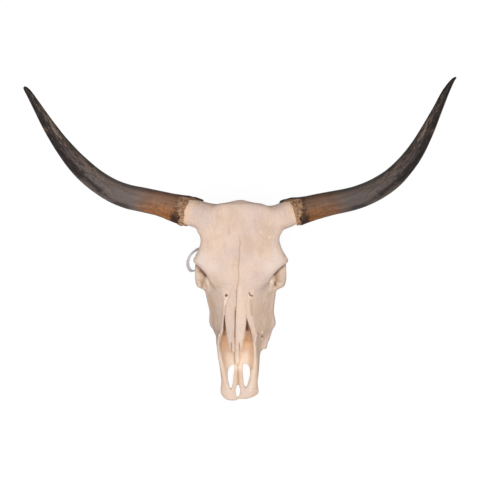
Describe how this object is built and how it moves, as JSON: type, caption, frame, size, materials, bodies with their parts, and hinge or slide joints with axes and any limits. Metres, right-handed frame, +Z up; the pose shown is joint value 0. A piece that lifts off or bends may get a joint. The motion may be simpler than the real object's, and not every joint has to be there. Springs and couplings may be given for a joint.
{
  "type": "longhorn steer skull",
  "caption": "Weathered longhorn steer skull without its lower jaw, with long, wide horns that sweep forward and up, lying on its cheek teeth, and a plastic tie looped behind one eye socket.",
  "frame": {"origin": "on the floor under the middle of the whole part's bounding box, a little in front of the eye sockets", "axes": "+X to the right horn as seen from above with the muzzle towards the viewer, +Y from the muzzle to the poll, +Z up"},
  "size_m": [1.0771, 0.8114, 0.2834],
  "materials": {
    "bone": "dry weathered bone, cream to peach with grey and tan stains",
    "horn": "satin horn, dark grey-brown, ochre and flaky at the collar",
    "tie": "smooth grey-white plastic"
  },
  "bodies": {
    "root": {"braincase": "bone", "frontal": "bone", "horn_left": "horn", "horn_right": "horn", "lacrimal_left": "bone", "lacrimal_right": "bone", "maxilla_left": "bone", "maxilla_right": "bone", "nasal_left": "bone", "nasal_right": "bone", "occipital": "bone", "premaxilla_left": "bone", "premaxilla_right": "bone", "temporal_left": "bone", "temporal_right": "bone", "tie_loop": "tie", "vomer": "bone", "zygomatic_left": "bone", "zygomatic_right": "bone"}
  },
  "joints": []
}
